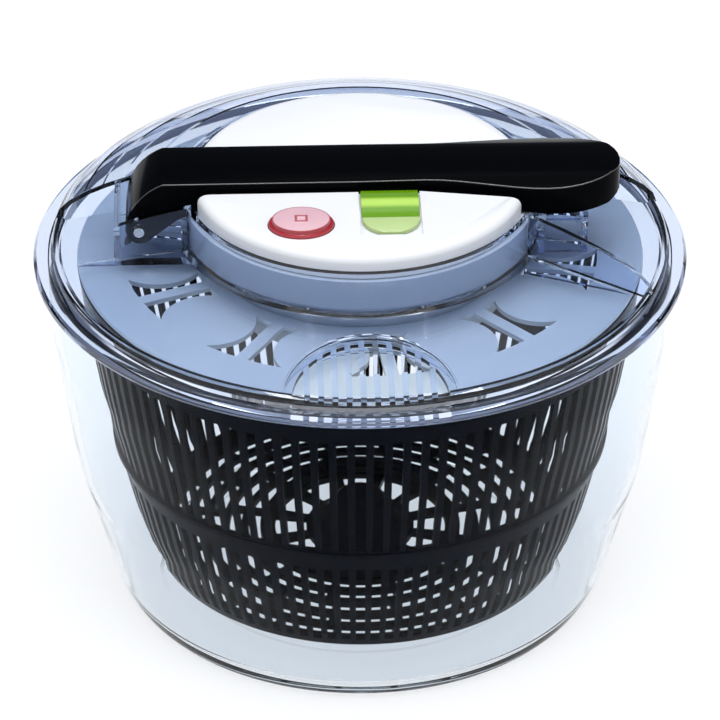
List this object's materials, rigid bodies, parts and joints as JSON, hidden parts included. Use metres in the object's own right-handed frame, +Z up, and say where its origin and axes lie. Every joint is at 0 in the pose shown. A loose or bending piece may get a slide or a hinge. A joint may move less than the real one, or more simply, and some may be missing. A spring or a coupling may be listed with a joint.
{
  "type": "salad spinner",
  "caption": "Clear bowl with a slotted strainer basket, under a clear lid with a pump lever, gear train, oval stop button, lever latch and pouring strainer.",
  "frame": {"origin": "centre of the bowl's foot ring, on the table", "axes": "+Z up along the spin axis; +X from the centre towards the lever's free tip; -Y towards the pouring strainer"},
  "size_m": [0.25, 0.25, 0.184],
  "materials": {
    "clear_plastic": "clear glossy plastic",
    "tinted_plastic": "clear plastic with a blue tint, glossy",
    "black_plastic": "glossy black plastic",
    "grey_plastic": "satin light grey plastic",
    "white_plastic": "glossy white plastic",
    "red_plastic": "translucent red plastic",
    "green_plastic": "translucent lime green plastic",
    "gear_plastic": "natural white acetal",
    "steel": "bright zinc-plated steel",
    "brake_rubber": "soft black rubber"
  },
  "bodies": {
    "bowl": {"bowl": "clear_plastic"},
    "lid": {"lid_shell": "tinted_plastic", "gear_housing": "grey_plastic", "mechanism_cover": "white_plastic", "housing_screws": "steel", "cover_screws": "steel", "lever_pin": "steel", "crown_axle": "steel", "idler_axle": "steel"},
    "basket": {"basket": "black_plastic"},
    "spinner": {"spinning_disc": "grey_plastic", "drive_shaft": "gear_plastic", "ratchet_pawls": "gear_plastic", "disc_screw": "steel"},
    "lever": {"lever_shell": "black_plastic", "lever_rack": "gear_plastic"},
    "crown": {"crown_pinion": "gear_plastic"},
    "idler": {"idler_gear": "gear_plastic"},
    "output": {"ratchet_gear": "gear_plastic"},
    "stop": {"stop_button": "red_plastic", "brake_pad": "brake_rubber", "stop_spring": "steel"},
    "latch": {"latch_slider": "green_plastic"}
  },
  "joints": [
    {"name": "lid_lift", "type": "slide", "parent": "bowl", "child": "lid", "axis": [0, 0, 1], "range_m": [0, 0.12]},
    {"name": "basket_spin", "type": "hinge", "parent": "bowl", "child": "basket", "pos_m": [0, 0, 0.03], "axis": [0, 0, 1], "continuous": true},
    {"name": "disc_spin", "type": "hinge", "parent": "lid", "child": "spinner", "pos_m": [0, 0, 0.13], "axis": [0, 0, 1], "continuous": true},
    {"name": "lever_pump", "type": "hinge", "parent": "lid", "child": "lever", "pos_m": [-0.084, 0, 0.164], "axis": [0, -1, 0], "range_deg": [0, 20]},
    {"name": "crown_turn", "type": "hinge", "parent": "lid", "child": "crown", "pos_m": [-0.02504, 0, 0.16194], "axis": [0, 1, 0], "range_deg": [0, 216]},
    {"name": "idler_turn", "type": "hinge", "parent": "lid", "child": "idler", "pos_m": [-0.02504, 0.01254, 0.145], "axis": [0, 0, 1], "range_deg": [-432, 0]},
    {"name": "output_turn", "type": "hinge", "parent": "lid", "child": "output", "pos_m": [0, 0, 0.145], "axis": [0, 0, 1], "range_deg": [0, 1584]},
    {"name": "stop_press", "type": "slide", "parent": "lid", "child": "stop", "axis": [0, 0, -1], "range_m": [0, 0.0025], "stiffness_N_per_m": 400, "springref_m": -0.002, "deforming": ["stop_spring"]},
    {"name": "latch_slide", "type": "slide", "parent": "lid", "child": "latch", "axis": [0, 1, 0], "range_m": [0, 0.003]}
  ],
  "couplings": [
    {"joint": "disc_spin", "follows": "basket_spin", "ratio": 1},
    {"joint": "crown_turn", "follows": "lever_pump", "ratio": 10.8},
    {"joint": "idler_turn", "follows": "lever_pump", "ratio": -21.6},
    {"joint": "output_turn", "follows": "lever_pump", "ratio": 79.2}
  ]
}
